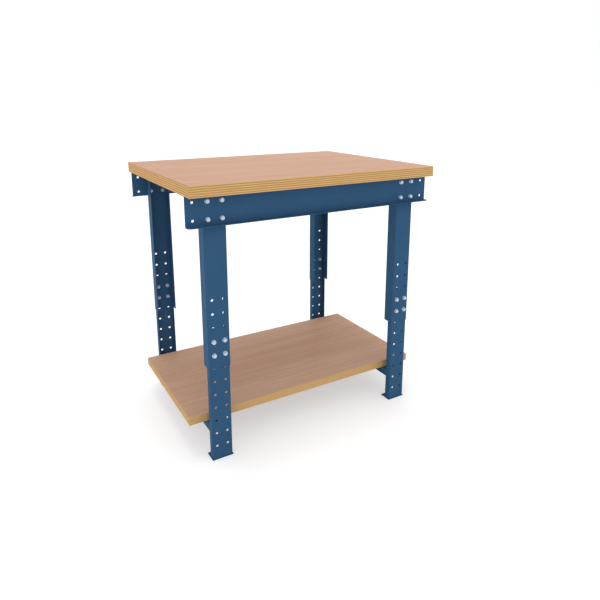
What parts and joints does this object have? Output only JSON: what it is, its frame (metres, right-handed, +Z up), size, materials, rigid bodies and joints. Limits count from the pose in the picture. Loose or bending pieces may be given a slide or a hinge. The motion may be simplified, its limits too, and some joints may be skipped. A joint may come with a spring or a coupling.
{
  "type": "workbench",
  "caption": "Height-adjustable workshop bench: multiplex worktop on steel rails, telescopic channel legs with rows of bolt holes, and a lower shelf between the legs.",
  "frame": {"origin": "on the floor, under the middle of the worktop", "axes": "+X along the length to the right, +Y to the back, +Z up"},
  "size_m": [1, 0.75, 1],
  "materials": {
    "worktop_multiplex": "lacquered beech multiplex",
    "shelf_board": "lacquered beech board",
    "blue_powder_coat": "semi-gloss powder coat",
    "zinc_plate": "bright zinc plate"
  },
  "bodies": {
    "lower_frame": {"shelf": "shelf_board", "lower_leg_front_left": "blue_powder_coat", "lower_leg_front_right": "blue_powder_coat", "lower_leg_rear_left": "blue_powder_coat", "lower_leg_rear_right": "blue_powder_coat", "foot_plate_front_left": "blue_powder_coat", "foot_plate_front_right": "blue_powder_coat", "foot_plate_rear_left": "blue_powder_coat", "foot_plate_rear_right": "blue_powder_coat", "shelf_bearer_left": "blue_powder_coat", "shelf_bearer_right": "blue_powder_coat", "shelf_screws_left": "zinc_plate", "shelf_screws_right": "zinc_plate"},
    "upper_frame": {"worktop": "worktop_multiplex", "front_rail": "blue_powder_coat", "rear_rail": "blue_powder_coat", "upper_leg_front_left": "blue_powder_coat", "upper_leg_front_right": "blue_powder_coat", "upper_leg_rear_left": "blue_powder_coat", "upper_leg_rear_right": "blue_powder_coat", "rail_bolts_front": "zinc_plate", "rail_bolts_rear": "zinc_plate", "rail_nuts_front": "zinc_plate", "rail_nuts_rear": "zinc_plate", "leg_bolts_front": "zinc_plate", "leg_bolts_rear": "zinc_plate", "leg_nuts_front": "zinc_plate", "leg_nuts_rear": "zinc_plate", "worktop_screws_front": "zinc_plate", "worktop_screws_rear": "zinc_plate"}
  },
  "joints": [
    {"name": "height_adjust", "type": "slide", "parent": "lower_frame", "child": "upper_frame", "axis": [0, 0, 1], "range_m": [-0.3, 0]}
  ]
}
